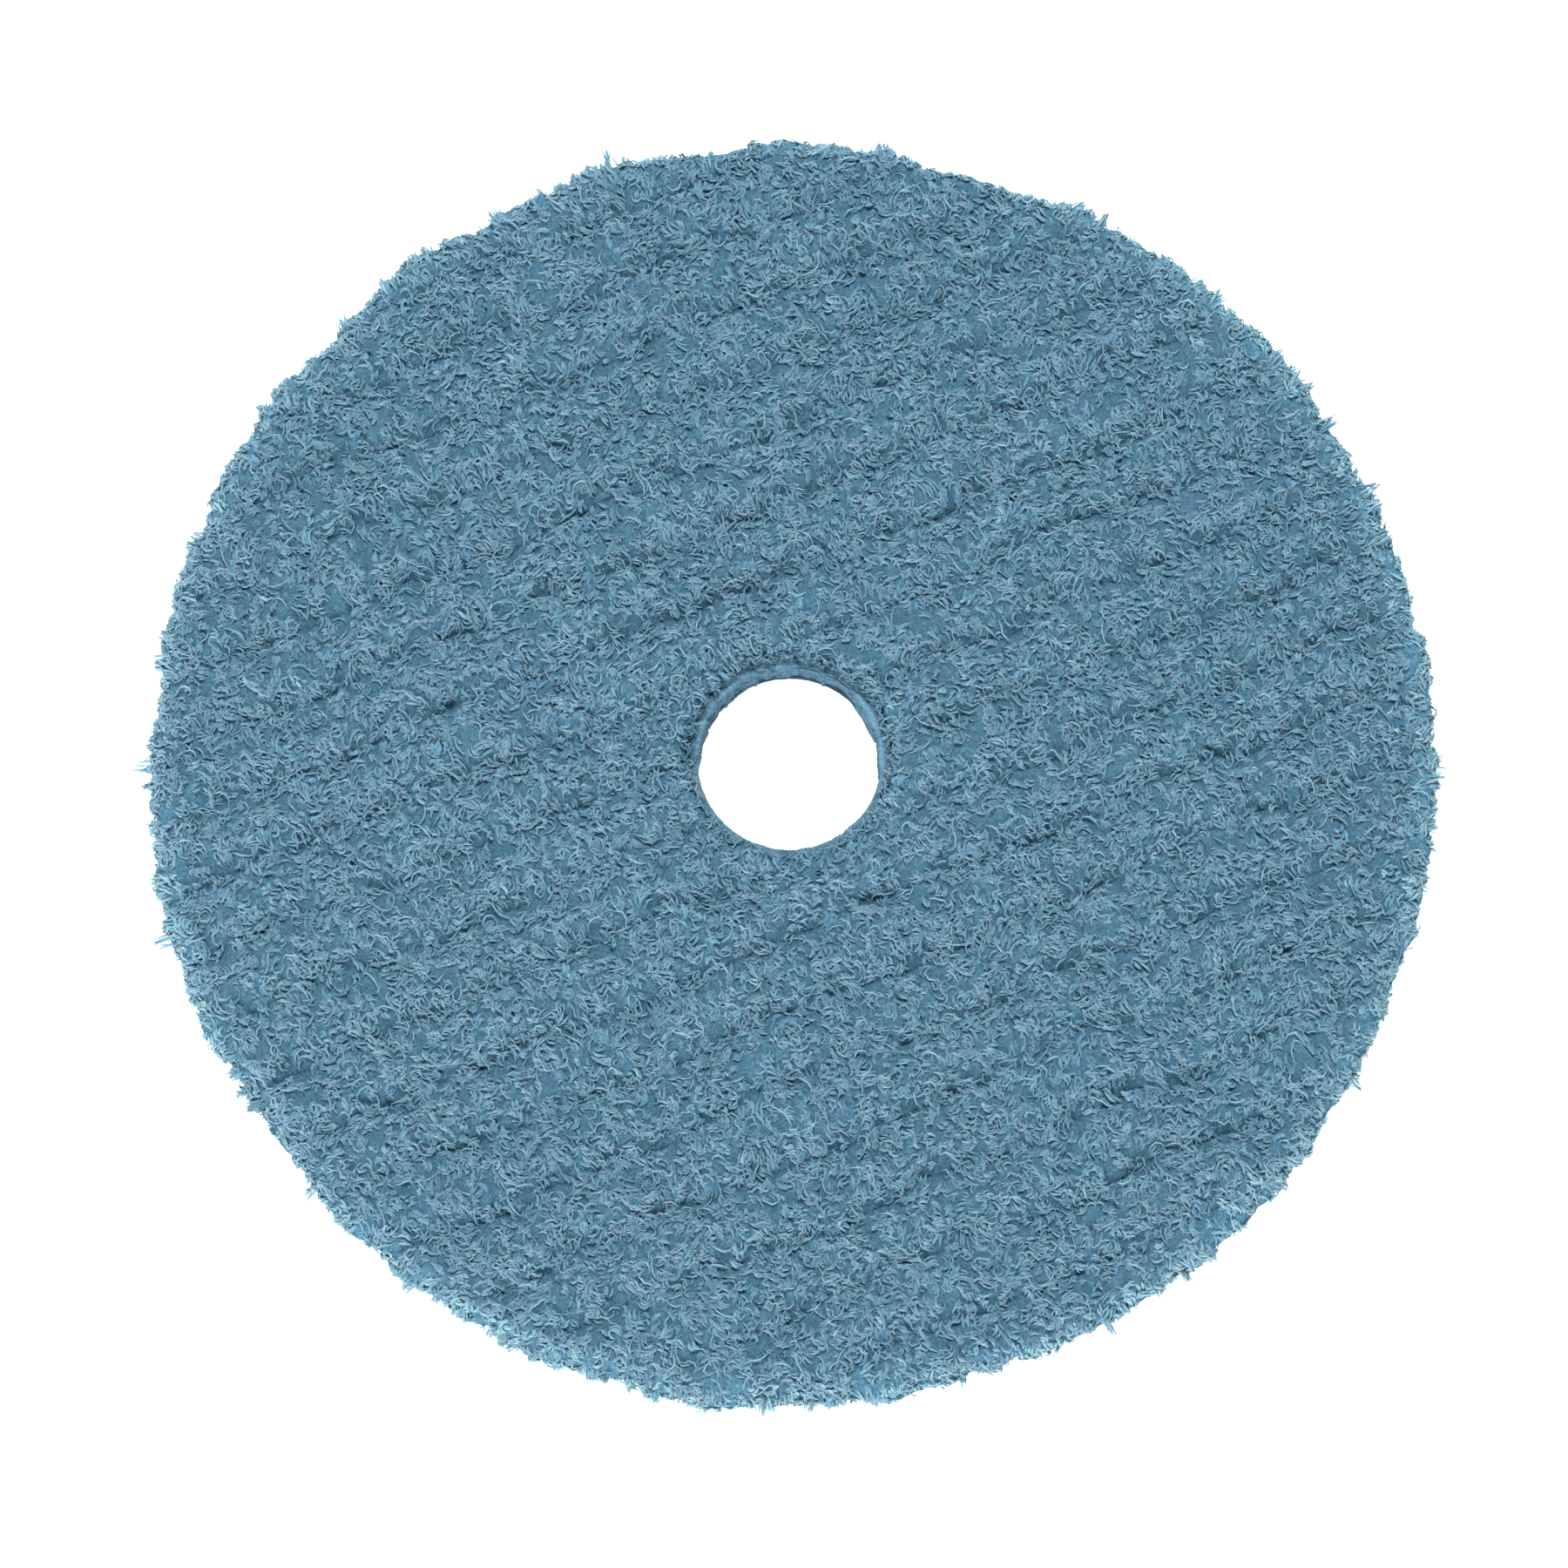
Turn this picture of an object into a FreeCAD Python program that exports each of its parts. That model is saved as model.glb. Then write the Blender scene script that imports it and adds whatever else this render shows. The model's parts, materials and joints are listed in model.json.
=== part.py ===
import FreeCAD, Part

import math
import os

# A six-inch microfibre cutting and polishing pad for a random-orbit car polisher.
# It is a bonded stack. From the machine side (z = 0) to the paint side (+Z) it holds:
# brushed hook-and-loop nap, its woven ground cloth, a bond film, a foam interface disc,
# a second bond film, a warp-knitted ground fabric, and stripes of microfibre pile.
# A round hole runs through the whole stack to centre the pad and let hot air out.
# The origin is at the middle of the machine-side face. All sizes are in millimetres.

# Outline
DISC_RADIUS = 75.0           # die-cut radius of every bonded layer
HOLE_RADIUS = 11.0           # centre hole through the bonded layers
PILE_HOLE_RADIUS = 12.4      # the pile stands back from the hole's cut edge
PILE_SPLAY = 2.0             # how far the pile bushes out past the cut edge

# Thickness of each layer, from the machine side up
NAP_HEIGHT = 1.2
LOOP_CLOTH_THICKNESS = 0.4
BOND_FILM_THICKNESS = 0.2
FOAM_THICKNESS = 6.4
KNIT_THICKNESS = 0.6
PILE_HEIGHT = 4.0

# The pile stripes
ROW_PITCH = 8.15             # distance between the middles of neighbouring stripes
ROWS_EACH_SIDE = 9           # stripes on each side of the one across the centre
ROW_ANGLE = 22.5             # degrees from +X to the stripes' length
ROW_GAP = 0.2                # clear groove left between neighbouring stripes
CREST_DROP = 1.0             # how much lower a stripe's shoulder is than its crest
FOAM_EDGE_ROUND = 0.6        # rounding that the bond gives the foam's outer edges

# Heights of the layer boundaries
LOOP_CLOTH_Z = NAP_HEIGHT
LOWER_FILM_Z = LOOP_CLOTH_Z + LOOP_CLOTH_THICKNESS
FOAM_Z = LOWER_FILM_Z + BOND_FILM_THICKNESS
UPPER_FILM_Z = FOAM_Z + FOAM_THICKNESS
KNIT_Z = UPPER_FILM_Z + BOND_FILM_THICKNESS
PILE_Z = KNIT_Z + KNIT_THICKNESS
TOP_Z = PILE_Z + PILE_HEIGHT

UP = FreeCAD.Vector(0, 0, 1)
CENTRE = FreeCAD.Vector(0, 0, 0)


def ring(bottom, height, outer_radius, inner_radius):
    """A flat ring standing on the height 'bottom'."""
    base = FreeCAD.Vector(0, 0, bottom)
    outside = Part.makeCylinder(outer_radius, height, base, UP)
    inside = Part.makeCylinder(inner_radius, height, base, UP)
    return outside.cut(inside)


def bonded_layer(bottom, height):
    """A layer cut by the same die as the rest of the stack."""
    return ring(bottom, height, DISC_RADIUS, HOLE_RADIUS)


def foam_disc():
    """The foam interface, with the outer corners of its section eased."""
    half_section = [
        (HOLE_RADIUS, FOAM_Z),
        (DISC_RADIUS - FOAM_EDGE_ROUND, FOAM_Z),
        (DISC_RADIUS, FOAM_Z + FOAM_EDGE_ROUND),
        (DISC_RADIUS, UPPER_FILM_Z - FOAM_EDGE_ROUND),
        (DISC_RADIUS - FOAM_EDGE_ROUND, UPPER_FILM_Z),
        (HOLE_RADIUS, UPPER_FILM_Z),
    ]
    points = [FreeCAD.Vector(radius, 0, height) for radius, height in half_section]
    outline = Part.makePolygon(points + points[:1])
    return Part.Face(outline).revolve(CENTRE, UP, 360)


def pile_envelope():
    """The space that all the pile fills: a ring whose rim bulges past the cut edge."""
    rim_bottom = FreeCAD.Vector(DISC_RADIUS, 0, PILE_Z)
    rim_widest = FreeCAD.Vector(DISC_RADIUS + PILE_SPLAY, 0, PILE_Z + PILE_HEIGHT / 2)
    rim_top = FreeCAD.Vector(DISC_RADIUS - PILE_SPLAY / 2, 0, TOP_Z)
    hole_top = FreeCAD.Vector(PILE_HOLE_RADIUS, 0, TOP_Z)
    hole_bottom = FreeCAD.Vector(PILE_HOLE_RADIUS, 0, PILE_Z)
    edges = [
        Part.Arc(rim_bottom, rim_widest, rim_top).toShape(),
        Part.makeLine(rim_top, hole_top),
        Part.makeLine(hole_top, hole_bottom),
        Part.makeLine(hole_bottom, rim_bottom),
    ]
    return Part.Face(Part.Wire(edges)).revolve(CENTRE, UP, 360)


def stripe_bar(row):
    """A long bar with a crowned top, along one stripe of pile."""
    half_length = DISC_RADIUS + 2 * PILE_SPLAY
    half_width = (ROW_PITCH - ROW_GAP) / 2
    middle = row * ROW_PITCH
    left = middle - half_width
    right = middle + half_width
    shoulder_z = TOP_Z - CREST_DROP
    start = -half_length
    corners = [
        FreeCAD.Vector(start, left, PILE_Z),
        FreeCAD.Vector(start, right, PILE_Z),
        FreeCAD.Vector(start, right, shoulder_z),
        FreeCAD.Vector(start, middle, TOP_Z),
        FreeCAD.Vector(start, left, shoulder_z),
    ]
    edges = [
        Part.makeLine(corners[0], corners[1]),
        Part.makeLine(corners[1], corners[2]),
        Part.Arc(corners[2], corners[3], corners[4]).toShape(),
        Part.makeLine(corners[4], corners[0]),
    ]
    bar = Part.Face(Part.Wire(edges)).extrude(FreeCAD.Vector(2 * half_length, 0, 0))
    bar.rotate(CENTRE, UP, ROW_ANGLE)
    return bar


def pile_stripes():
    """Every stripe of pile, from the lowest on the disc to the highest."""
    envelope = pile_envelope()
    stripes = {}
    for row in range(-ROWS_EACH_SIDE, ROWS_EACH_SIDE + 1):
        number = row + ROWS_EACH_SIDE + 1
        stripes[f"pile_stripe_{number:02d}"] = stripe_bar(row).common(envelope)
    return stripes


def pad_pieces():
    """Every piece of the pad, by the name of its node."""
    pieces = {
        "loop_nap": bonded_layer(0, NAP_HEIGHT),
        "loop_ground_cloth": bonded_layer(LOOP_CLOTH_Z, LOOP_CLOTH_THICKNESS),
        "loop_bond_film": bonded_layer(LOWER_FILM_Z, BOND_FILM_THICKNESS),
        "foam_interface": foam_disc(),
        "face_bond_film": bonded_layer(UPPER_FILM_Z, BOND_FILM_THICKNESS),
        "knitted_ground_fabric": bonded_layer(KNIT_Z, KNIT_THICKNESS),
    }
    pieces.update(pile_stripes())
    return pieces


def main():
    os.makedirs("parts", exist_ok=True)
    for node, shape in pad_pieces().items():
        solids = len(shape.Solids)
        print(f"{node}: {solids} solid(s), {shape.Volume / 1000:.2f} cm3, valid {shape.isValid()}")
        shape.exportStep(f"parts/{node}.step")


main()
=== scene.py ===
import itertools
import json
import math
from typing import NamedTuple

import bpy
import numpy as np
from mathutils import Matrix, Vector


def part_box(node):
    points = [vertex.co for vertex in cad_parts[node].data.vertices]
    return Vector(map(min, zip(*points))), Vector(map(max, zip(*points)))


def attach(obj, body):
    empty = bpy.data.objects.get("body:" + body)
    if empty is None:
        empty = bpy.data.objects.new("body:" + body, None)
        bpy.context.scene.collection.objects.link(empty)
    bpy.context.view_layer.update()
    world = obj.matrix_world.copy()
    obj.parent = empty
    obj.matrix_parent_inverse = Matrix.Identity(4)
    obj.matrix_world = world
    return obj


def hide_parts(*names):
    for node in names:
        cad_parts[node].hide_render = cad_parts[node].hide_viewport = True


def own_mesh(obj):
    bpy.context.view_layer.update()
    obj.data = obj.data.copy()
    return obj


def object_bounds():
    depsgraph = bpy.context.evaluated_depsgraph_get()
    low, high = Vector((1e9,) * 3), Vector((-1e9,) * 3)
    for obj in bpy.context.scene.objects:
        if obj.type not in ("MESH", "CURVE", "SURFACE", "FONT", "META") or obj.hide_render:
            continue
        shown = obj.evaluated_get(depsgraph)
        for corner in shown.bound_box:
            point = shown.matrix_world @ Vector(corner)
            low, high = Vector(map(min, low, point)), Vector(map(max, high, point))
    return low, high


# A microfibre polishing pad: curled pile in stripes on a knitted ground, a foam interface,
# and a brushed loop backing. Lengths are in metres. The pile is laid out flat, in distances along
# and across its stripes, and is then draped over the pad's rounded rim and into its hole.

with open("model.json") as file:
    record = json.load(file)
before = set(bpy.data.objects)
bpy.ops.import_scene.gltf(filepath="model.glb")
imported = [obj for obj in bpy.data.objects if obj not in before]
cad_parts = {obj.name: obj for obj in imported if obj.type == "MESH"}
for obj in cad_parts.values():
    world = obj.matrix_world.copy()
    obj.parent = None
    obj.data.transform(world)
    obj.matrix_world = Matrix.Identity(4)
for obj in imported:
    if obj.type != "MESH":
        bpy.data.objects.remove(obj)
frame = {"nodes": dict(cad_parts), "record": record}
cad_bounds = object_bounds()

MM = 0.001
SEED = 20

# ---------------------------------------------------------------- places that the CAD frame gives


def node_points(node):
    """The vertices of a CAD node, one row each."""
    vertices = frame["nodes"][node].data.vertices
    points = np.empty(len(vertices) * 3)
    vertices.foreach_get("co", points)
    return points.reshape(-1, 3)


def stripe_axes():
    """Unit vectors along the stripes and across them, from the middle stripe's length."""
    plan = node_points(STRIPES[MIDDLE])[:, :2]
    along = np.linalg.eigh(np.cov(plan.T))[1][:, -1]
    along = along * math.copysign(1, along[0])
    return along, np.array([-along[1], along[0]])


def lowest_across(stripe):
    """The least distance across the stripes that a stripe's node reaches."""
    return (node_points(stripe)[:, :2] @ ACROSS).min()


def nearest_to_axis(node):
    """The least distance from the pad's axis to a node."""
    return np.hypot(*node_points(node)[:, :2].T).min()


def mount(name):
    """One of the record's mounts, by its name."""
    return next(m for m in frame["record"]["mounts"] if m["name"] == name)


def levels(node):
    """The heights of a node's lower and upper faces."""
    low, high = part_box(node)
    return low[2], high[2]


STRIPES = sorted(node for node in frame["nodes"] if node.startswith("pile_stripe"))
MIDDLE = len(STRIPES) // 2
ALONG, ACROSS = stripe_axes()
PITCH = lowest_across(STRIPES[MIDDLE + 1]) - lowest_across(STRIPES[MIDDLE])
PILE_RADIUS = cad_bounds[1][0]
TOP_Z = cad_bounds[1][2]
DISC_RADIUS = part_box("foam_interface")[1][0]
HOLE_RADIUS = mount("centre_hole")["dims"]["r_mm"] * MM
PILE_HOLE_RADIUS = nearest_to_axis(STRIPES[MIDDLE])
GROUND_Z = levels("knitted_ground_fabric")[1]
NAP_LOW, NAP_HIGH = levels("loop_nap")

# ---------------------------------------------------------------- the pile's shape

MAT_HEIGHT = 3.0 * MM            # from the knit to the matted surface that the strands lie on
RIM_ROUND = MAT_HEIGHT           # how the mat rounds over the rim
RIM_TURN = math.radians(100)     # how far round it goes, down past the knit's cut edge
HOLE_ROUND = 1.2 * MM            # the same at the hole
PROUD = 0.9 * MM                 # how far the strands stand out of the mat
RIM_START = PILE_RADIUS - PROUD - RIM_ROUND
HOLE_START = PILE_HOLE_RADIUS + HOLE_ROUND
FLAT_REACH = RIM_START + RIM_ROUND * RIM_TURN
HOLE_WALL = MAT_HEIGHT - HOLE_ROUND
FLAT_HOLE = HOLE_START - HOLE_ROUND * math.pi / 2 - HOLE_WALL


def ripples(wavelength, waves=20):
    """A smooth random field over the plane, mostly from -1 to 1, as a function of two coordinates."""
    rng = np.random.default_rng(SEED + int(wavelength / MM * 100))
    heading = rng.uniform(0, 2 * math.pi, waves)
    count = 2 * math.pi / (wavelength * rng.uniform(0.75, 1.35, waves))
    offset = rng.uniform(0, 2 * math.pi, waves)

    def field(t, s):
        total = np.zeros(np.shape(t))
        for k in range(waves):
            total += np.cos(count[k] * (math.cos(heading[k]) * t + math.sin(heading[k]) * s) + offset[k])
        return total / math.sqrt(waves)

    return field


groove_wander = ripples(24 * MM)
groove_ripple = ripples(6.5 * MM)
groove_depth = ripples(9 * MM)
wide_lumps = ripples(7 * MM)
small_lumps = ripples(1.9 * MM)
fine_lumps = ripples(1.0 * MM)
rim_lobes = ripples(19 * MM)
rim_tufts = ripples(6 * MM)

TUFT_ROWS = 3                    # rows of tufts in a stripe
TUFT = PITCH / TUFT_ROWS         # from tuft to tuft
TUFTS_WIDE = 2 * math.ceil(FLAT_REACH / TUFT) + 6
DOME_BLEND = 7.0                 # how sharp the creases between tufts are
DOME_FALL = 1.7                  # how steeply a tuft's top falls away from its middle
DOME_VARIES = 0.22               # how much higher or lower one tuft stands than another
TUFT_JITTER = np.random.default_rng(SEED).uniform(0.12, 0.88, (TUFTS_WIDE, TUFTS_WIDE, 2))
TUFT_SIZE = np.random.default_rng(SEED + 1).normal(0, 1, (TUFTS_WIDE, TUFTS_WIDE))


def tuft_home(t, s):
    """Which tuft's square of the pile each place is in. The squares of a stripe end at its edges."""
    half = TUFTS_WIDE // 2
    return np.floor(t / TUFT).astype(int) + half, np.floor((s + PITCH / 2) / TUFT).astype(int) + half


def tuft_middle(i, j):
    """The middle of the tuft in square i, j."""
    half = TUFTS_WIDE // 2
    off = TUFT_JITTER[i % TUFTS_WIDE, j % TUFTS_WIDE]
    return (i - half + off[..., 0]) * TUFT, (j - half + off[..., 1]) * TUFT - PITCH / 2


def tuft_domes(t, s):
    """Height of the tufts' rounded tops, about -0.5 in the creases between them and 0.5 at their middles."""
    home_i, home_j = tuft_home(t, s)
    total = np.zeros(np.shape(t))
    for step_i, step_j in itertools.product((-1, 0, 1), repeat=2):
        i, j = home_i + step_i, home_j + step_j
        middle_t, middle_s = tuft_middle(i, j)
        apart = ((t - middle_t) ** 2 + (s - middle_s) ** 2) / TUFT ** 2
        dome = 0.5 - DOME_FALL * apart + DOME_VARIES * TUFT_SIZE[i % TUFTS_WIDE, j % TUFTS_WIDE]
        total += np.exp(DOME_BLEND * dome)
    return np.log(total) / DOME_BLEND - 0.1


HOLE_FADE = 7 * MM               # how far from the hole the stripes reach their full depth
RIM_FADE = 11 * MM               # the same from the rim


def open_pile(t, s):
    """1 over the open pile, falling to 0 at the hole and at the rim, where the stripes die out."""
    reach = np.hypot(t, s)
    from_hole = np.clip((reach - FLAT_HOLE) / HOLE_FADE, 0, 1)
    from_rim = np.clip((FLAT_REACH - reach) / RIM_FADE, 0, 1)
    return from_hole * from_rim


# One stripe's section from groove to groove: places as a share of its width, and heights in millimetres.
CROWN_PLACES = [0, 0.08, 0.15, 0.28, 0.42, 0.70, 0.90, 1]
CROWN_HEIGHTS = [-1.00, -0.86, -0.36, 0.72, 0.66, 0.10, -0.66, -1.00]
GROOVE_SIDE = 0.35               # how far from a groove, as a share of half a stripe, the tufts are flatter


def relief(t, s):
    """Height of the mat above its mean: each stripe is steep below its crest and sinks slowly above it."""
    phase = (s / PITCH + 0.5) % 1
    crown = np.interp(phase, CROWN_PLACES, CROWN_HEIGHTS)
    crown = crown * (0.98 + 0.25 * groove_depth(t, s)) * open_pile(t, s)
    from_groove = np.minimum(phase, 1 - phase) * 2
    domes = tuft_domes(t, s) * (0.26 + 0.20 * np.clip(from_groove / GROOVE_SIDE, 0, 1))
    lumps = domes + 0.08 * wide_lumps(t, s) + 0.11 * small_lumps(t, s)
    return (crown + lumps) * MM


def flat_place(t, s):
    """x and y on the flat pile, with the stripes' grooves wandering a little."""
    wander = (0.55 * groove_wander(t, s) + 0.28 * groove_ripple(t, s)) * MM * open_pile(t, s)
    return t * ALONG[0] + (s + wander) * ACROSS[0], t * ALONG[1] + (s + wander) * ACROSS[1]


# The cut outline's broad waves: how many go round the rim, how high they are in millimetres, and their phase.
CUT_WAVES = [(1, 0.50, 0.3), (2, 0.20, 0.0), (3, 0.32, -1.2), (5, 0.27, 3.2), (7, 0.17, 0.35)]


def uneven_rim(x, y):
    """How far the rim stands out from a circle: a hand-cut, bushy outline."""
    angle = np.arctan2(y, x)
    edge_x, edge_y = PILE_RADIUS * np.cos(angle), PILE_RADIUS * np.sin(angle)
    cut = sum(height * np.cos(count * angle + phase) for count, height, phase in CUT_WAVES)
    bushy = 0.45 * rim_lobes(edge_x, edge_y) + 0.28 * rim_tufts(edge_x, edge_y)
    return (cut + bushy) * MM


def drape(x, y, height):
    """Points of the flat pile, and heights above the mat, as places on the pad."""
    reach = np.hypot(x, y)
    rim = RIM_START + uneven_rim(x, y)
    over = np.clip((reach - rim) / RIM_ROUND, 0, RIM_TURN)
    into = np.clip((HOLE_START - reach) / HOLE_ROUND, 0, math.pi / 2)
    down = np.clip(HOLE_START - HOLE_ROUND * math.pi / 2 - reach, 0, HOLE_WALL)
    turn = over - into
    curl = np.where(into > 0, HOLE_ROUND, RIM_ROUND)
    radius = np.clip(reach, HOLE_START, rim) + (curl + height) * np.sin(turn)
    z = GROUND_Z + MAT_HEIGHT - curl + (curl + height) * np.cos(turn) - down
    return np.stack([x / reach * radius, y / reach * radius, z], axis=-1)


# ---------------------------------------------------------------- meshes


def mesh_piece(name, points, corners, sizes, material, uv=None, normals=None):
    """A smooth mesh object from plain arrays: points, each face's corners in a row, and each face's size."""
    mesh = bpy.data.meshes.new(name)
    mesh.vertices.add(len(points))
    mesh.vertices.foreach_set("co", np.ascontiguousarray(points, np.float32).ravel())
    mesh.loops.add(len(corners))
    mesh.loops.foreach_set("vertex_index", np.ascontiguousarray(corners, np.int32))
    mesh.polygons.add(len(sizes))
    starts = np.concatenate([[0], np.cumsum(sizes)[:-1]])
    mesh.polygons.foreach_set("loop_start", starts.astype(np.int32))
    if uv is not None:
        layer = mesh.uv_layers.new(name=SHADE_MAP)
        layer.data.foreach_set("uv", np.ascontiguousarray(uv, np.float32).ravel())
    mesh.update(calc_edges=True)
    mesh.validate()
    mesh.shade_smooth()
    if normals is not None:
        mesh.normals_split_custom_set_from_vertices(normals)
    mesh.materials.append(material)
    piece = bpy.data.objects.new(name, mesh)
    bpy.context.scene.collection.objects.link(piece)
    return piece


def quad_piece(name, points, quads, material):
    return mesh_piece(name, points, quads.ravel(), np.full(len(quads), 4), material)


def place(piece, node, body):
    """The piece stands for a CAD node, which it hides, and moves with a body."""
    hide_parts(node)
    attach(piece, body)


# ---------------------------------------------------------------- strands

SHADE_MAP = "OFBake"     # u is a strand's own shade, and v runs from its root to its tip
RINGS = 4                # rings of three points along a strand, before its tip
STRAND_POINTS = RINGS * 3 + 1
TAPER = np.array([0.75, 1.0, 1.0, 0.75])
FLATTENED = 0.50         # a strand is a bundle of fibres that is flatter than it is wide
ROUNDED_BACK = 0.7       # how much its back seems to round, from 0 for flat to 2 for a sharp edge
SHADE_MARGIN = 0.04      # how far the strands' shades stay inside the map's edges
END_MARGIN = 0.02        # the same for their ends
MAP_WIDTH = 0.012        # half of a strand's width in the map


def strand_faces():
    """One strand's face corners and face sizes."""
    corners, sizes = [], []
    for ring in range(RINGS - 1):
        for side in range(3):
            a, b = ring * 3 + side, ring * 3 + (side + 1) % 3
            corners += [b, a, a + 3, b + 3]
            sizes.append(4)
    last = (RINGS - 1) * 3
    for side in range(3):
        corners += [last + (side + 1) % 3, last + side, last + 3]
        sizes.append(3)
    corners += [0, 1, 2]
    sizes.append(3)
    return np.array(corners), np.array(sizes)


STRAND_CORNERS, STRAND_SIZES = strand_faces()


def unit(vectors):
    return vectors / (np.linalg.norm(vectors, axis=-1, keepdims=True) + 1e-12)


def strand_tubes(spine, outward, thickness):
    """Three-sided tapering tubes round the spines, which are (strand, point, xyz), with a flat side outward.

    The normals make the flat side look like the round back of a bundle of fibres.
    """
    ahead = unit(np.gradient(spine, axis=1))
    # A little of another direction gives a strand that points straight outward a side too.
    side = unit(np.cross(ahead, outward + 0.3 * np.roll(ahead, 1, axis=2)))
    top = np.cross(side, ahead)
    points = np.empty((len(spine), STRAND_POINTS, 3))
    normals = np.empty_like(points)
    radius = thickness[:, None, None] / 2 * TAPER[None, :, None]
    for k in range(3):
        angle = (k * 2 / 3 - 1 / 2) * math.pi
        across, up = math.cos(angle) * side[:, :RINGS], math.sin(angle) * top[:, :RINGS]
        points[:, k:RINGS * 3:3] = spine[:, :RINGS] + radius * (across + FLATTENED * up)
        normals[:, k:RINGS * 3:3] = unit(ROUNDED_BACK * across + 2 * up)
    points[:, -1] = spine[:, -1]
    normals[:, -1] = top[:, -1]
    return points, normals


def strand_piece(name, spine, outward, thickness, shade, material):
    """Many strands as one piece, each with its own place in the shade map."""
    count = len(spine)
    points, normals = strand_tubes(spine, outward, thickness)
    corners = (np.arange(count)[:, None] * STRAND_POINTS + STRAND_CORNERS[None]).ravel()
    sizes = np.tile(STRAND_SIZES, count)
    along = np.append(np.repeat(np.arange(RINGS), 3), RINGS) / RINGS
    around = np.append(np.tile([-1, 0, 1], RINGS), 0)
    u = SHADE_MARGIN + (1 - 2 * SHADE_MARGIN) * shade[:, None] + MAP_WIDTH * around[STRAND_CORNERS][None]
    v = np.broadcast_to(END_MARGIN + (1 - 2 * END_MARGIN) * along[STRAND_CORNERS], u.shape)
    uv = np.stack([u, v], axis=-1).reshape(-1, 2)
    return mesh_piece(name, points.reshape(-1, 3), corners, sizes, material, uv, normals.reshape(-1, 3))


# ---------------------------------------------------------------- pile strands

ROOT_DEPTH = 0.35 * MM           # how deep in the mat a strand starts
KINK = 0.18                      # how far it strays from a smooth curl at each step, in radians
BOB = 0.05 * MM                  # and from a smooth rise and fall


class Strands(NamedTuple):
    """Many strands, one array for each property."""

    t: np.ndarray                # where a strand starts on the flat pile, along the stripes
    s: np.ndarray                # and across them
    heading: np.ndarray          # its direction on the flat pile, three tenths of the way along it
    length: np.ndarray
    thickness: np.ndarray
    rise: np.ndarray             # how high over the mat it lies
    tip: np.ndarray              # how much higher its tip ends
    curl: np.ndarray             # the angle that it turns through
    shade: np.ndarray            # from 0 for the darkest yarn to 1 for the palest

    def pick(self, keep):
        return Strands(*(column[keep] for column in self))

    def joined(self, other):
        return Strands(*(np.concatenate(pair) for pair in zip(self, other)))


LOCKS_PER_TUFT = 8
STRANDS_PER_LOCK = 4
TUFT_SPREAD = 1.0 * MM           # how far a tuft's locks start from its middle
LOCK_WIDTH = 1.0 * MM
SPLAYED = 0.5                    # the share of locks that splay from their tuft's middle
STANDING = 0.3                   # the share of locks whose tips stand up
FLYAWAYS = 300                   # thin strands that lie over a whole stripe
RIM_LIGHT_WIDTH = 5 * MM              # how far in from the rim the painted rim light starts
RIM_LIGHT_RISE = 4 * MM               # over how much of that it comes to full strength


def rim_light_ramp(t, s):
    """Painted light on the strands near the rim: 0 on the open pile, rising to 1 at the rim. The mat's sink
    lessens with it too.
    """
    return np.clip((np.hypot(t, s) - FLAT_REACH + RIM_LIGHT_WIDTH) / RIM_LIGHT_RISE, 0, 1)


def tuft_strands(rng, middle):
    """One stripe's strands, in tufts of small locks that splay or lean together."""
    steps = np.arange(-FLAT_REACH, FLAT_REACH, TUFT)
    rows = middle + (np.arange(TUFT_ROWS) - (TUFT_ROWS - 1) / 2) * TUFT
    grid_t, grid_s = (grid.ravel() for grid in np.meshgrid(steps, rows))
    tuft_t, tuft_s = tuft_middle(*tuft_home(grid_t, grid_s))
    lean = rng.uniform(0, 2 * math.pi, tuft_t.shape)
    tone = rng.normal(0, 0.06, tuft_t.shape)
    tuft = np.repeat(np.arange(len(tuft_t)), LOCKS_PER_TUFT)
    count = len(tuft)
    away = rng.normal(0, TUFT_SPREAD, (2, count))
    splay = np.arctan2(away[1], away[0])
    t, s = tuft_t[tuft] + away[0], tuft_s[tuft] + away[1]
    stands = rng.random(count) < STANDING
    locks = Strands(
        t, s,
        heading=np.where(rng.random(count) < SPLAYED, splay, lean[tuft]) + rng.normal(0, 0.8, count),
        length=rng.uniform(0.9, 2.1, count) * MM,
        thickness=rng.normal(0.36, 0.06, count).clip(0.24, 0.52) * MM,
        rise=rng.uniform(-0.08, 0.43, count) * MM,
        tip=np.where(stands, rng.uniform(0, 0.5, count), rng.uniform(-0.4, 0, count)) * MM,
        curl=rng.uniform(0.6, 3.2, count) * rng.choice([-1, 1], count),
        # the last term is painted light: strands paler towards the rim, where the fringe looks lit
        shade=0.45 + tone[tuft] + rng.normal(0, 0.13, count) + 0.95 * rim_light_ramp(t, s))
    return split_locks(rng, locks)


def split_locks(rng, locks):
    """Each lock as several strands that start side by side and draw together at the tip."""
    columns = (np.repeat(column, STRANDS_PER_LOCK) for column in locks)
    t, s, heading, length, thickness, rise, tip, curl, shade = columns
    count = len(t)
    beside = rng.uniform(-0.5, 0.5, count) * LOCK_WIDTH
    ahead = rng.uniform(-0.2, 0.2, count) * length
    return Strands(
        t=t + ahead * np.cos(heading) - beside * np.sin(heading),
        s=s + ahead * np.sin(heading) + beside * np.cos(heading),
        heading=heading - 0.8 * beside / length + rng.normal(0, 0.12, count),
        length=length * rng.uniform(0.7, 1.1, count),
        thickness=thickness * rng.uniform(0.8, 1.2, count),
        rise=rise + rng.normal(0, 0.06 * MM, count),
        tip=tip,
        curl=curl * rng.uniform(0.85, 1.15, count),
        shade=(shade + rng.normal(0, 0.12, count)).clip(0, 1))


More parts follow.
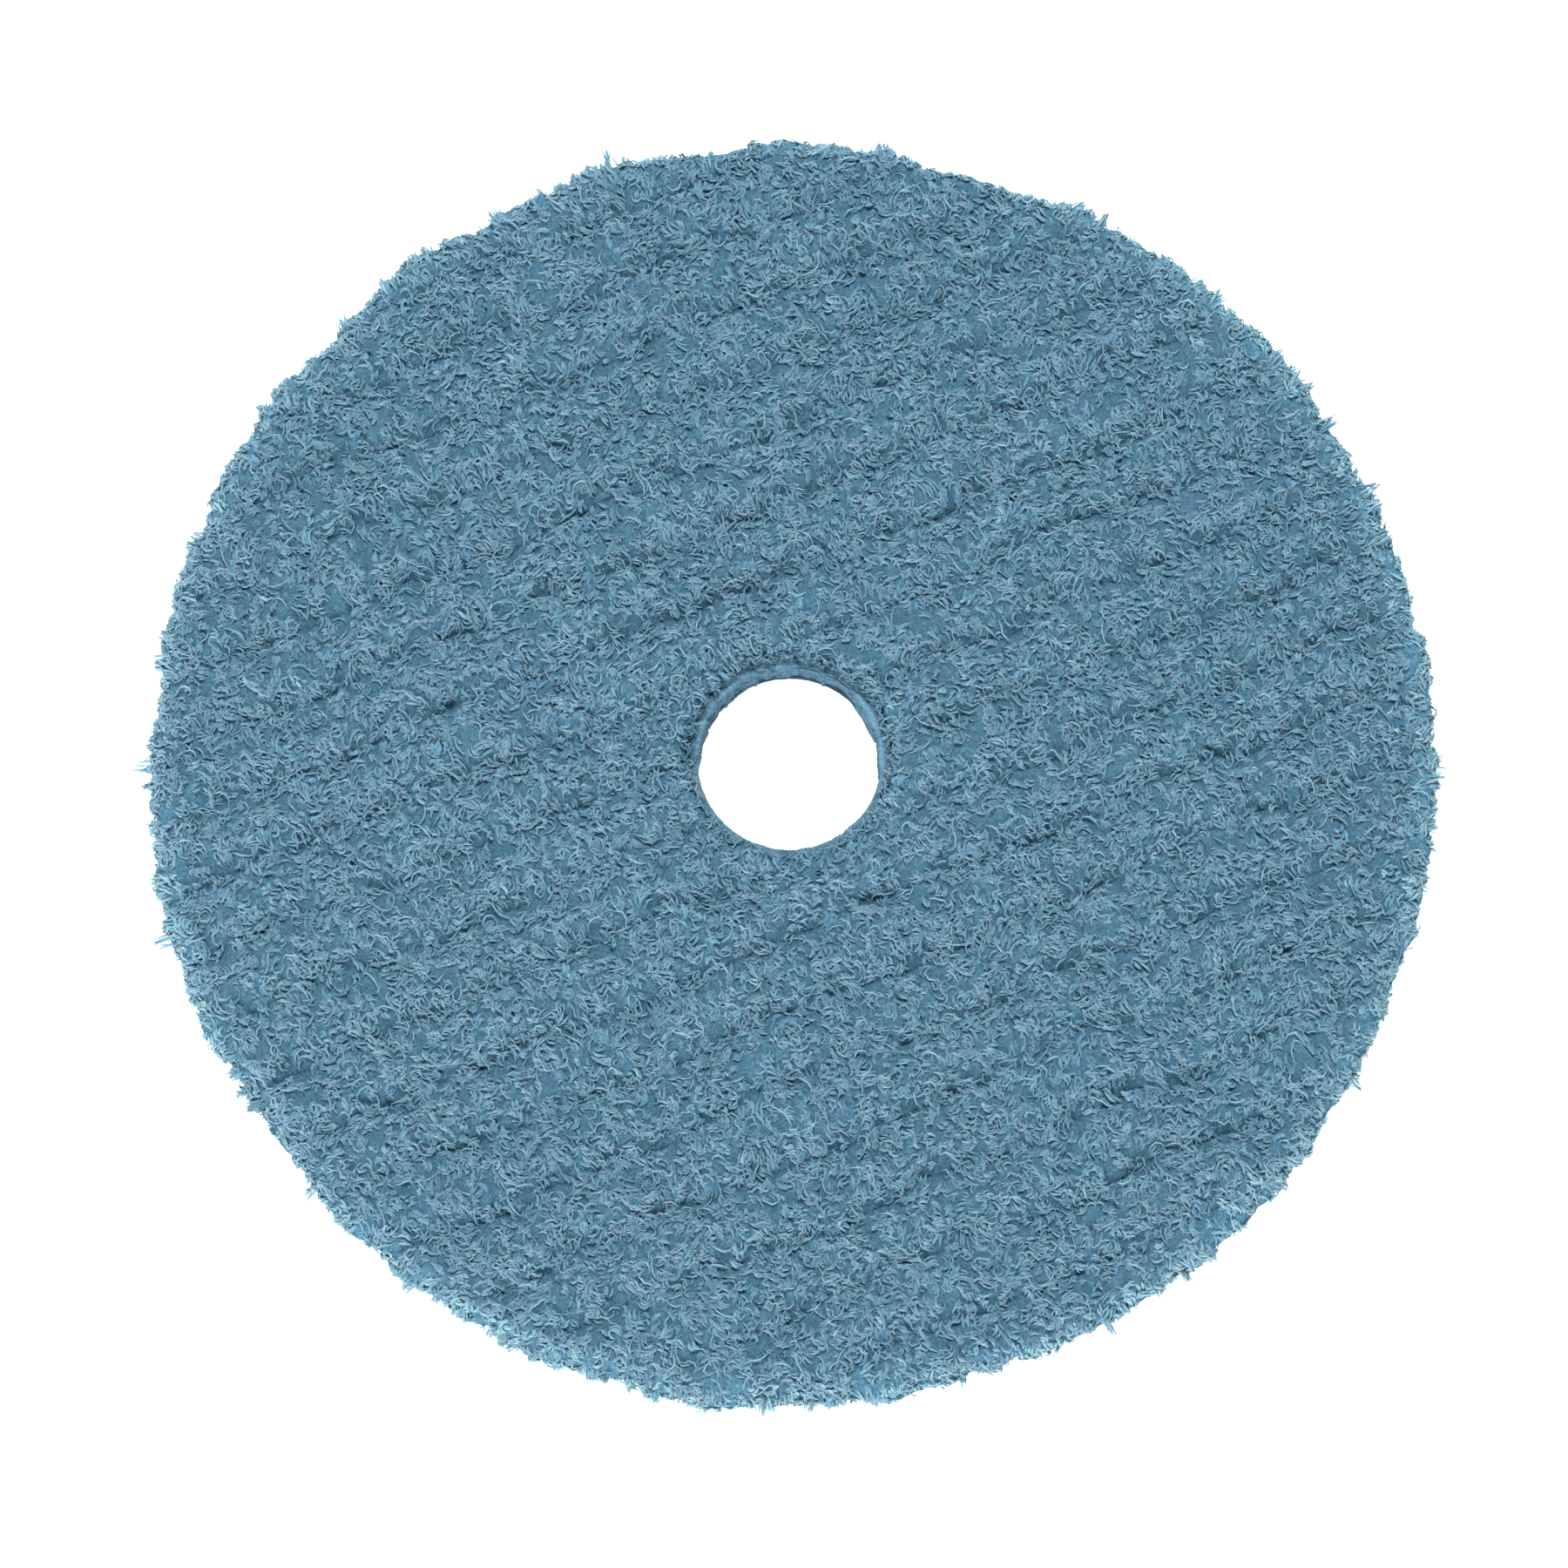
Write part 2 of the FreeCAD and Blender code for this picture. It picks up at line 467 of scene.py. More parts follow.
def flyaway_strands(rng, middle):
    """Thinner, longer, paler strands that lie over the others."""
    return Strands(
        t=rng.uniform(-FLAT_REACH, FLAT_REACH, FLYAWAYS),
        s=middle + rng.uniform(-PITCH / 2, PITCH / 2, FLYAWAYS),
        heading=rng.uniform(0, 2 * math.pi, FLYAWAYS),
        length=rng.uniform(1.8, 3.6, FLYAWAYS) * MM,
        thickness=rng.uniform(0.18, 0.26, FLYAWAYS) * MM,
        rise=rng.uniform(0.2, 0.6, FLYAWAYS) * MM,
        tip=rng.uniform(-0.5, 0.5, FLYAWAYS) * MM,
        curl=rng.uniform(1.0, 5.0, FLYAWAYS) * rng.choice([-1, 1], FLYAWAYS),
        # paler than the yarn beneath: painted highlight on the strands that lie on top
        shade=rng.uniform(0.5, 0.95, FLYAWAYS))


WISP_BUNCHES = 280               # pointed bunches that stick out round the whole rim
STRANDS_PER_WISP = 9
HOLE_WISPS = 420                 # stray strands round the hole


def rim_wisps(rng):
    """Bunches of strands that start side by side in the rim and meet at a point outside it."""
    own_angle = rng.uniform(-math.pi, math.pi, WISP_BUNCHES)
    own_reach = FLAT_REACH - rng.uniform(0.3, 2.2, WISP_BUNCHES) * MM
    own_height = rng.gamma(2.0, 0.4, WISP_BUNCHES) * MM
    bunch = np.repeat(np.arange(WISP_BUNCHES), STRANDS_PER_WISP)
    count = len(bunch)
    point_t = own_reach[bunch] * np.cos(own_angle[bunch])
    point_s = own_reach[bunch] * np.sin(own_angle[bunch])
    angle = own_angle[bunch] + rng.normal(0, 0.7 * MM, count) / PILE_RADIUS
    reach = own_reach[bunch] - rng.uniform(0.2, 1.9, count) * MM
    t, s = reach * np.cos(angle), reach * np.sin(angle)
    return Strands(
        t, s,
        heading=np.arctan2(point_s - s, point_t - t),
        length=np.hypot(point_s - s, point_t - t) * rng.uniform(0.85, 1.1, count),
        thickness=rng.uniform(0.30, 0.46, count) * MM,
        rise=rng.uniform(0.0, 0.2, count) * MM,
        tip=own_height[bunch] * rng.uniform(0.75, 1.05, count),
        curl=rng.normal(0, 0.4, count),
        # pale shades: painted light on the fringe at the rim
        shade=rng.uniform(0.7, 1.0, count))


def hole_wisps(rng):
    """Stray strands on the bare ring round the hole."""
    angle = rng.uniform(-math.pi, math.pi, HOLE_WISPS)
    reach = FLAT_HOLE + rng.uniform(0.0, 2.4, HOLE_WISPS) * MM
    return Strands(
        t=reach * np.cos(angle),
        s=reach * np.sin(angle),
        heading=angle + math.pi * rng.choice([0.55, 1.0, 1.45], HOLE_WISPS) + rng.normal(0, 0.5, HOLE_WISPS),
        length=rng.uniform(1.0, 2.2, HOLE_WISPS) * MM,
        thickness=rng.uniform(0.20, 0.36, HOLE_WISPS) * MM,
        rise=rng.uniform(0.1, 0.5, HOLE_WISPS) * MM,
        tip=rng.uniform(0.0, 0.9, HOLE_WISPS) * MM,
        curl=rng.normal(0, 1.5, HOLE_WISPS),
        # pale shades: painted light round the hole
        shade=rng.uniform(0.5, 1.0, HOLE_WISPS))


def curled_spines(rng, strands):
    """Curled centre lines that start in the mat, rise out of it and lie over or stand up at the tip."""
    t, s, heading, length, _, rise, tip, curl, _ = (column[:, None] for column in strands)
    count = len(t)
    along = np.linspace(0, 1, RINGS + 1)[None]
    kinks = np.cumsum(rng.normal(0, KINK, (count, RINGS + 1)), axis=1)
    angle = heading + curl * (along - 0.3) + kinks
    step = length / RINGS
    path_t = t + np.cumsum(np.cos(angle) * step, axis=1) - np.cos(angle[:, :1]) * step
    path_s = s + np.cumsum(np.sin(angle) * step, axis=1) - np.sin(angle[:, :1]) * step
    lift = np.sin(np.minimum(along / 0.5, 1) * math.pi / 2)
    bob = rng.normal(0, BOB, (count, RINGS + 1))
    end = tip * along ** 2
    height = relief(path_t, path_s) - ROOT_DEPTH + (ROOT_DEPTH + rise) * lift + end + bob
    x, y = flat_place(path_t, path_s)
    spine = drape(x, y, height)
    return spine, unit(drape(x, y, height + PROUD) - spine)


def on_flat(strands):
    """Which strands start on the flat pile, between its hole and its rim."""
    reach = np.hypot(strands.t, strands.s)
    return (reach > FLAT_HOLE) & (reach < FLAT_REACH)


def stripe_strands(rng, stripe_index, wisps, material):
    """All the strands of one stripe, as one piece."""
    middle = (stripe_index - MIDDLE) * PITCH
    strands = tuft_strands(rng, middle).joined(flyaway_strands(rng, middle))
    strands = strands.pick(on_flat(strands))
    strands = strands.joined(wisps.pick(np.abs(wisps.s - middle) < PITCH / 2))
    spine, outward = curled_spines(rng, strands)
    node = STRIPES[stripe_index]
    piece = strand_piece(f"{node}_strands", spine, outward, strands.thickness, strands.shade, material)
    place(piece, node, "polishing_face")
    return piece


# ---------------------------------------------------------------- pile mat

MAT_STEP = 0.5 * MM
MAT_ROWS = 16
MAT_COLUMNS = 2 * math.ceil(FLAT_REACH / MAT_STEP)
MAT_SINK = 0.20 * MM             # the mat's own surface lies this far under the strands' level
RIM_RISE = 0.7                   # the share of that sink that is lost at the rim
MAT_GRAIN = 0.07 * MM            # height of the mat's own fine lumps
MAT_SKIRT = 0.6 * MM             # how far the mat hangs below the knit's upper face at the rim
MAT_STUB = 2 * MM                # half the length of its shortest lines, at the pad's edge
MAT_MARGIN = 0.4 * MM            # how far the outermost lines of the mat stay inside the flat pile's edge
MAT_FOOT = 0.5 * MM              # how far its underside stays inside the knit's rim


def mat_length(s, side):
    """Where a line of the mat starts and ends along the stripe. side is 0 for a whole stripe."""
    outer = np.sqrt(np.maximum(FLAT_REACH ** 2 - s ** 2, MAT_STUB ** 2))
    if side == 0:
        return -outer, outer
    inner = np.sqrt(np.maximum(FLAT_HOLE ** 2 - s ** 2, 0))
    return (inner, outer) if side > 0 else (-outer, -inner)


def mat_block(stripe_index, side):
    """One closed block of matted pile: its lumpy top, its flat underside and the walls between."""
    middle = (stripe_index - MIDDLE) * PITCH
    limit = FLAT_REACH - MAT_MARGIN
    s = np.clip(np.linspace(middle - PITCH / 2, middle + PITCH / 2, MAT_ROWS + 1), -limit, limit)
    start, end = mat_length(s, side)
    columns = MAT_COLUMNS if side == 0 else MAT_COLUMNS // 2
    share = np.linspace(0, 1, columns + 1)
    t = start[:, None] + (end - start)[:, None] * share[None]
    s = np.broadcast_to(s[:, None], t.shape)
    x, y = flat_place(t, s)
    sink = MAT_SINK * (1 - RIM_RISE * rim_light_ramp(t, s))
    top = drape(x, y, relief(t, s) + MAT_GRAIN * fine_lumps(t, s) - sink)
    reach = np.hypot(top[..., 0], top[..., 1])
    under = top.copy()
    shrink = np.minimum(1, (DISC_RADIUS - MAT_FOOT) / reach)
    under[..., :2] *= shrink[..., None]
    under[..., 2] = GROUND_Z
    top[..., 2] = np.maximum(top[..., 2], GROUND_Z - MAT_SKIRT)
    points = np.concatenate([top.reshape(-1, 3), under.reshape(-1, 3)])
    return points, block_faces(MAT_ROWS, columns)


def block_faces(rows, columns):
    """Quads of two grids of points, one over the other, joined round their edges."""
    index = np.arange((rows + 1) * (columns + 1)).reshape(rows + 1, columns + 1)
    low = index + index.size
    a, b, c, d = index[:-1, :-1], index[:-1, 1:], index[1:, 1:], index[1:, :-1]
    top = np.stack([a, b, c, d], axis=-1).reshape(-1, 4)
    under = low.ravel()[top][:, ::-1]
    ring = np.concatenate([index[0, :-1], index[:-1, -1], index[-1, :0:-1], index[:0:-1, 0]])
    after = np.roll(ring, -1)
    walls = np.stack([ring, low.ravel()[ring], low.ravel()[after], after], axis=-1)
    return np.concatenate([top, under, walls])


def stripe_mat(stripe_index, material):
    """The matted body of one stripe, in two blocks where the hole cuts it."""
    points, quads = np.empty((0, 3)), np.empty((0, 4), int)
    sides = (-1, 1) if abs(stripe_index - MIDDLE) <= 1 else (0,)
    for side in sides:
        block, faces = mat_block(stripe_index, side)
        quads = np.concatenate([quads, faces + len(points)])
        points = np.concatenate([points, block])
    node = STRIPES[stripe_index]
    piece = quad_piece(f"{node}_mat", points, quads, material)
    place(piece, node, "polishing_face")
    return piece


# ---------------------------------------------------------------- layers under the pile

AROUND = 1400                    # points round the hole and the rim of each layer


def ring_section(node, rounding, wall_steps, face_radii):
    """A layer's closed section as (radius, height) points, anticlockwise from its lower inner corner."""
    low, high = levels(node)
    hole, rim = HOLE_RADIUS, DISC_RADIUS
    turn = np.linspace(0, math.pi / 2, 4)
    heights = np.linspace(low + rounding, high - rounding, wall_steps + 2)[1:-1]

    def corner(r, z, start):
        return np.stack([r + rounding * np.cos(start + turn), z + rounding * np.sin(start + turn)], axis=1)

    def line(r, z):
        return np.stack(np.broadcast_arrays(r, z), axis=1)

    return np.concatenate([
        corner(hole + rounding, low + rounding, math.pi),
        line(face_radii, low),
        corner(rim - rounding, low + rounding, 1.5 * math.pi),
        line(rim, heights),
        corner(rim - rounding, high - rounding, 0),
        line(face_radii[::-1], high),
        corner(hole + rounding, high - rounding, 0.5 * math.pi),
        line(hole, heights[::-1]),
    ])


def turned_layer(name, section, bulge, material):
    """A closed ring: its section swept round the axis, then pushed out of its surface by bulge(points)."""
    ahead = np.roll(section, -1, axis=0) - np.roll(section, 1, axis=0)
    out = np.stack([ahead[:, 1], -ahead[:, 0]], axis=1)
    out /= np.linalg.norm(out, axis=1, keepdims=True)
    angle = np.arange(AROUND) * 2 * math.pi / AROUND
    around = np.stack([np.cos(angle), np.sin(angle)], axis=1)[:, None]

    def swept(pair):
        high = np.broadcast_to(pair[None, :, 1:], (AROUND, len(pair), 1))
        return np.concatenate([around * pair[None, :, :1], high], axis=2).reshape(-1, 3)

    points = swept(section)
    points = points + bulge(points)[:, None] * swept(out)
    index = np.arange(len(points)).reshape(AROUND, len(section))
    right, up = np.roll(index, -1, axis=0), np.roll(index, -1, axis=1)
    both = np.roll(right, -1, axis=1)
    quads = np.stack([index, right, both, up], axis=-1).reshape(-1, 4)
    return quad_piece(name, points, quads, material)


CELL_TABLE = np.random.default_rng(SEED).random((32, 32, 32, 3))
CELL_RADIUS = 0.62               # of a cell's size


def cells(points, size):
    """How deep each point is in a random round cell of about that size: 1 at its middle, 0 outside."""
    home = np.floor(points / size).astype(int)
    nearest = np.full(len(points), np.inf)
    for step in itertools.product((-1, 0, 1), repeat=3):
        at = home + step
        centre = at + CELL_TABLE[tuple((at % len(CELL_TABLE)).T)]
        nearest = np.minimum(nearest, np.linalg.norm(points / size - centre, axis=1))
    return np.clip(1 - nearest / CELL_RADIUS, 0, 1)


cut_ripple = ripples(3.2 * MM)
cut_wave = ripples(11 * MM)
cut_nicks = ripples(1.3 * MM)
NICK_START = 0.8                 # only the nicks field's highest and lowest places show as nicks


def cut_edge(points):
    """How unevenly the layers are cut round the hole and the rim."""
    x, y = points[:, 0], points[:, 1]
    field = cut_nicks(x, y)
    nicks = np.maximum(np.abs(field) - NICK_START, 0) * np.sign(field)
    return (0.14 * cut_ripple(x, y) + 0.22 * cut_wave(x, y) + 0.22 * nicks) * MM


FACE_RADII = np.linspace(HOLE_RADIUS + 1 * MM, DISC_RADIUS - 1 * MM, 5)


LARGE_PORE = 1.2 * MM
SMALL_PORE = 0.6 * MM


def foam_piece(material):
    """The foam interface: a solid ring of open cells, cut through at its walls."""
    def bulge(points):
        pores = 0.8 * cells(points, LARGE_PORE) + 0.25 * cells(points, SMALL_PORE)
        return cut_edge(points) - pores * MM

    section = ring_section("foam_interface", rounding=0.35 * MM, wall_steps=22, face_radii=FACE_RADII)
    piece = turned_layer("foam_body", section, bulge, material)
    place(piece, "foam_interface", "hook_side")
    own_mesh(piece)
    return piece


WALE = 0.85 * MM                 # from one column of knitted loops to the next
COURSE = 0.65 * MM               # from one row of loops to the next


def knit_loops(points):
    """Height of knitted loops: columns of small V-shaped stitches."""
    t, s = points[:, :2] @ ALONG, points[:, :2] @ ACROSS
    column = np.abs(np.sin(math.pi * s / WALE))
    stitch = np.cos(2 * math.pi * (t / COURSE + 0.35 * np.cos(2 * math.pi * s / WALE)))
    return (0.07 * column + 0.045 * stitch * column) * MM


def knit_piece(material):
    """The knitted ground that the pile stands on. It shows round the hole and at the rim's cut edge."""
    def bulge(points):
        return knit_loops(points) + cut_edge(points)

    ledge = np.arange(HOLE_RADIUS + 0.25 * MM, HOLE_RADIUS + 3 * MM, 0.14 * MM)
    radii = np.concatenate([ledge, FACE_RADII[1:]])
    section = ring_section("knitted_ground_fabric", rounding=0.2 * MM, wall_steps=3, face_radii=radii)
    piece = turned_layer("ground_knit", section, bulge, material)
    place(piece, "knitted_ground_fabric", "polishing_face")
    return piece


def backing_piece(material):
    """The woven cloth that holds the nap."""
    def bulge(points):
        return cut_edge(points) + 0.4 * knit_loops(points)

    section = ring_section("loop_ground_cloth", rounding=0.15 * MM, wall_steps=2, face_radii=FACE_RADII)
    piece = turned_layer("backing_cloth", section, bulge, material)
    place(piece, "loop_ground_cloth", "hook_side")
    return piece


# ---------------------------------------------------------------- loop nap

NAP_SECTORS = 8
LOOPS_PER_SECTOR = 2600
BRUSHED = 0.55 * MM              # how far the loops lean the way they were brushed
NAP_ROOT = 0.08 * MM             # how deep in the cloth a loop starts
NAP_CLEAR = 0.06 * MM            # how far the longest loops end above the pad's machine side


def nap_sector(sector, material):
    """One eighth of the nap: fine loops that hang from the backing cloth, brushed one way."""
    rng = np.random.default_rng(SEED * 7 + sector)
    count = LOOPS_PER_SECTOR
    angle = (sector + rng.uniform(0, 1, count)) * 2 * math.pi / NAP_SECTORS
    inner, outer = HOLE_RADIUS + 0.5 * MM, DISC_RADIUS - 0.6 * MM
    radius = np.sqrt(rng.uniform(inner ** 2, outer ** 2, count))
    heading = rng.normal(0, 0.9, (count, 1))
    span = rng.uniform(0.5, 1.5, (count, 1)) * MM
    drop = (NAP_HIGH - NAP_LOW) * rng.uniform(0.55, 1.0, (count, 1)) - NAP_CLEAR
    along = np.linspace(0, 1, RINGS + 1)[None]
    arch = np.sin(math.pi * along)
    twist = heading + 1.2 * (along - 0.5) * rng.choice([-1, 1], (count, 1))
    x = (radius * np.cos(angle))[:, None] + span * (along - 0.5) * np.cos(twist) + BRUSHED * arch
    y = (radius * np.sin(angle))[:, None] + span * (along - 0.5) * np.sin(twist)
    z = NAP_HIGH + NAP_ROOT - (drop + NAP_ROOT) * arch
    spine = np.stack(np.broadcast_arrays(x, y, z), axis=-1)
    reach = np.hypot(spine[..., 0], spine[..., 1])
    kept = np.clip(reach, HOLE_RADIUS + 0.1 * MM, DISC_RADIUS - 0.1 * MM)
    spine[..., :2] *= (kept / reach)[..., None]
    thickness = rng.uniform(0.09, 0.14, count) * MM
    shade = rng.uniform(0, 1, count)
    downward = np.array([0.0, 0.0, -1.0])
    piece = strand_piece(f"loop_nap_{sector + 1}", spine, downward, thickness, shade, material)
    place(piece, "loop_nap", "hook_side")
    return piece


# ---------------------------------------------------------------- materials


def new_material(name, roughness, sheen=0.0, specular=0.3):
    """A node material, with its node tree and its main shader."""
    material = bpy.data.materials.new(name)
    material.use_nodes = True
    tree = material.node_tree
    shader = tree.nodes["Principled BSDF"]
    shader.inputs["Roughness"].default_value = roughness
    shader.inputs["Specular IOR Level"].default_value = specular
    shader.inputs["Sheen Weight"].default_value = sheen
    shader.inputs["Sheen Roughness"].default_value = 0.45
    return material, tree, shader


def ramp(tree, stops):
    """A colour ramp node through the stops, which are (place, colour) in order."""
    node = tree.nodes.new("ShaderNodeValToRGB")
    elements = node.color_ramp.elements
    for _ in stops[2:]:
        elements.new(0.5)
    for element, (position, colour) in zip(elements, stops):
        element.position = position
        element.color = (*colour, 1)
    return node


def noise(tree, grain, detail=4.0, distortion=0.0):
    """Noise with lumps of about that size, in the object's own coordinates."""
    where = tree.nodes.new("ShaderNodeTexCoord")
    node = tree.nodes.new("ShaderNodeTexNoise")
    node.inputs["Scale"].default_value = 1 / grain
    node.inputs["Detail"].default_value = detail
    node.inputs["Distortion"].default_value = distortion
    tree.links.new(where.outputs["Object"], node.inputs["Vector"])
    return node


def bump(tree, shader, height, depth, strength=1.0):
    """Bumps of that depth on the shader, from a height output."""
    node = tree.nodes.new("ShaderNodeBump")
    node.inputs["Distance"].default_value = depth
    node.inputs["Strength"].default_value = strength
    tree.links.new(height, node.inputs["Height"])
    tree.links.new(node.outputs["Normal"], shader.inputs["Normal"])


def roughness_range(tree, shader, value, low, high):
    """Roughness from low to high as a value goes from 0 to 1."""
    node = tree.nodes.new("ShaderNodeMapRange")
    node.inputs["To Min"].default_value = low
    node.inputs["To Max"].default_value = high
    tree.links.new(value, node.inputs["Value"])
    tree.links.new(node.outputs["Result"], shader.inputs["Roughness"])


def tinted(tree, shader, colour, tint):
    """One colour output multiplied by another, as the shader's colour."""
    mix = tree.nodes.new("ShaderNodeMix")
    mix.data_type = "RGBA"
    mix.blend_type = "MULTIPLY"
    mix.inputs["Factor"].default_value = 1.0
    tree.links.new(colour, mix.inputs["A"])
    tree.links.new(tint, mix.inputs["B"])
    tree.links.new(mix.outputs["Result"], shader.inputs["Base Color"])


def by_radius(tree, stops):
    """A ramp over the distance from the pad's axis. Its stops are (radius, brightness)."""
    where = tree.nodes.new("ShaderNodeTexCoord")
    flat = tree.nodes.new("ShaderNodeVectorMath")
    flat.operation = "MULTIPLY"
    flat.inputs[1].default_value = (1 / PILE_RADIUS, 1 / PILE_RADIUS, 0)
    reach = tree.nodes.new("ShaderNodeVectorMath")
    reach.operation = "LENGTH"
    tree.links.new(where.outputs["Object"], flat.inputs[0])
    tree.links.new(flat.outputs["Vector"], reach.inputs[0])
    node = ramp(tree, [(radius / PILE_RADIUS, (bright, bright, bright)) for radius, bright in stops])
    tree.links.new(reach.outputs["Value"], node.inputs["Fac"])
    return node.outputs["Color"]


def strand_material(name, shades, root_shading, sheen):
    """Yarn: each strand has its own shade, times a second ramp from root to tip that paints shade where the
    strand goes into the mat or the cloth.
    """
    material, tree, shader = new_material(name, 0.8, sheen=sheen, specular=0.05)
    shader.inputs["Subsurface Weight"].default_value = 0.6
    shader.inputs["Subsurface Radius"].default_value = (0.8, 0.8, 0.8)
    shader.inputs["Subsurface Scale"].default_value = 0.6 * MM
    where = tree.nodes.new("ShaderNodeUVMap")
    where.uv_map = SHADE_MAP
    split = tree.nodes.new("ShaderNodeSeparateXYZ")
    # the second ramp is painted shade along the strand
    own_shade, depth = ramp(tree, shades), ramp(tree, root_shading)
    link = tree.links.new
    link(where.outputs["UV"], split.inputs["Vector"])
    link(split.outputs["X"], own_shade.inputs["Fac"])
    link(split.outputs["Y"], depth.inputs["Fac"])
    tinted(tree, shader, own_shade.outputs["Color"], depth.outputs["Color"])
    return material


def pile_yarn():
    """Dyed microfibre: blue, with the palest strands a little green, and painted shade, deeper and bluer,
    towards each strand's root.
    """
    shades = [(0.0, (0.063, 0.156, 0.225)), (0.45, (0.096, 0.205, 0.285)), (0.85, (0.131, 0.258, 0.342)),
              (1.0, (0.194, 0.356, 0.422))]
    # painted shade: darker and bluer towards the root, a little lighter at the tip
    root_shading = [(0.0, (0.58, 0.75, 0.83)), (0.5, (0.98, 1.00, 1.00)), (1.0, (1.08, 1.06, 1.04))]
    return strand_material("microfibre_yarn", shades, root_shading, 0.0)


def nap_yarn():
    """Blue-grey nylon loops that hang from the cloth, with painted shade at both ends, where they go into it.
    """
    shades = [(0.0, (0.100, 0.180, 0.235)), (1.0, (0.170, 0.280, 0.355))]
    # painted shade at both ends of each loop, where it goes into the cloth
    root_shading = [(0.0, (0.85, 0.87, 0.9)), (0.5, (1.0, 1.0, 1.0)), (1.0, (0.85, 0.87, 0.9))]
    return strand_material("nylon_loops", shades, root_shading, 0.3)


def matted_fibre():
    """The felted surface between the strands: swirled fine fibres, darker than the strands as painted shade
    in the gaps, and paler near the hole and the rim as painted light.
    """
    material, tree, shader = new_material("matted_fibre", 0.85, specular=0.05)
    swirl = noise(tree, 0.7 * MM, detail=3.0, distortion=2.2)
    # darker than the strands' yarn: partly the felt's own colour, partly painted shade for the gaps between
    # strands
    felt_and_gap_shade = [(0.3, (0.034, 0.098, 0.150)), (0.55, (0.064, 0.150, 0.210)), (0.75, (0.100, 0.206, 0.272))]
    colours = ramp(tree, felt_and_gap_shade)
    tree.links.new(swirl.outputs["Fac"], colours.inputs["Fac"])
    # painted light: paler near the hole and towards the rim
    paler_edges = by_radius(tree, [(PILE_HOLE_RADIUS, 1.2), (HOLE_START + 2 * MM, 1.0),
                              (PILE_RADIUS - 4 * MM, 1.0), (PILE_RADIUS - 1 * MM, 1.55)])
    tinted(tree, shader, colours.outputs["Color"], paler_edges)
    bump(tree, shader, swirl.outputs["Fac"], 0.5 * MM)
    return material


CELL_WIDTH = 0.42 * MM           # of the foam's finest cells, too small for its mesh


def foam_skin():
    """Open-cell polyurethane: slightly shiny cells between paler struts, darkened in their hollows as painted
    shade.
    """
    material, tree, shader = new_material("open_cell_foam", 0.75)
    where = tree.nodes.new("ShaderNodeTexCoord")
    holes = tree.nodes.new("ShaderNodeTexVoronoi")
    holes.inputs["Scale"].default_value = 1 / CELL_WIDTH
    # painted shade: darker towards the middle of each cell's hollow
    cell_hollow_shade = [(0.0, (0.028, 0.080, 0.124)), (0.35, (0.058, 0.142, 0.204)), (0.7, (0.088, 0.196, 0.270))]
    colours = ramp(tree, cell_hollow_shade)
    tree.links.new(where.outputs["Object"], holes.inputs["Vector"])
    tree.links.new(holes.outputs["Distance"], colours.inputs["Fac"])
    tree.links.new(colours.outputs["Color"], shader.inputs["Base Color"])
    bump(tree, shader, holes.outputs["Distance"], 0.12 * MM)
    roughness_range(tree, shader, holes.outputs["Distance"], 0.55, 0.85)
    return material


def cloth(name, dark, light, grain, edge):
    """Fine yarns with their own fuzz, and another brightness where the cloth is cut round the hole."""
    material, tree, shader = new_material(name, 0.85, specular=0.1)
    fuzz = noise(tree, grain, detail=5.0, distortion=0.6)
    colours = ramp(tree, [(0.3, dark), (0.7, light)])
    tree.links.new(fuzz.outputs["Fac"], colours.inputs["Fac"])
    paler_edges = by_radius(tree, [(HOLE_RADIUS + 0.1 * MM, edge), (HOLE_RADIUS + 0.5 * MM, 1.0)])
    tinted(tree, shader, colours.outputs["Color"], paler_edges)
    bump(tree, shader, fuzz.outputs["Fac"], 0.08 * MM)
    roughness_range(tree, shader, fuzz.outputs["Fac"], 0.7, 0.95)
    return material


def knit_yarn():
    """The ground's dyed yarn, darker than the pile, partly as painted shade on the ledge under the pile's
    edge, and paler at its cut edge round the hole.
    """
    # darker than the pile: partly the yarn's own colour, partly painted shade on the ledge under the pile's
    # edge
    return cloth("ground_knit", dark=(0.046, 0.106, 0.152), light=(0.080, 0.164, 0.222), grain=0.35 * MM,
                 edge=1.5)


def backing_yarn():
    """The backing's blue-grey yarn."""
    return cloth("backing_cloth", dark=(0.075, 0.140, 0.185), light=(0.135, 0.225, 0.290), grain=0.4 * MM,
                 edge=1.3)


def hot_melt():
    """Bond film: a thin, slightly shiny skin of adhesive, thicker in some places than in others."""
    material, tree, shader = new_material("hot_melt_film", 0.5, specular=0.25)
    flow = noise(tree, 1.4 * MM, detail=2.0)
    colours = ramp(tree, [(0.3, (0.055, 0.130, 0.185)), (0.7, (0.085, 0.180, 0.245))])
    tree.links.new(flow.outputs["Fac"], colours.inputs["Fac"])
    tree.links.new(colours.outputs["Color"], shader.inputs["Base Color"])
    bump(tree, shader, flow.outputs["Fac"], 0.05 * MM)
    roughness_range(tree, shader, flow.outputs["Fac"], 0.45, 0.7)
    return material


def finish_films(material):
    """The bond films keep their CAD shape and get their own material."""
    for node in ("loop_bond_film", "face_bond_film"):
        film = frame["nodes"][node]
        film.data.materials.clear()
        film.data.materials.append(material)


# ---------------------------------------------------------------- stage, light and camera


def area_light(name, place_at, size, power):
    """A round lamp that is aimed at the pad. Its size is in metres and its power in watts."""
    light = bpy.data.lights.new(name, "AREA")
    light.shape = "DISK"
    light.size = size
    light.energy = power
    lamp = bpy.data.objects.new(name, light)
    lamp.location = place_at
    lamp.rotation_euler = (-Vector(place_at)).to_track_quat("-Z", "Y").to_euler()
    bpy.context.scene.collection.objects.link(lamp)


FLOOR_HALF = 6.0                 # half of the floor's width, in metres
FLOOR_GLOW = 0.9                 # the floor is a lit white table, so it takes hardly any shadow


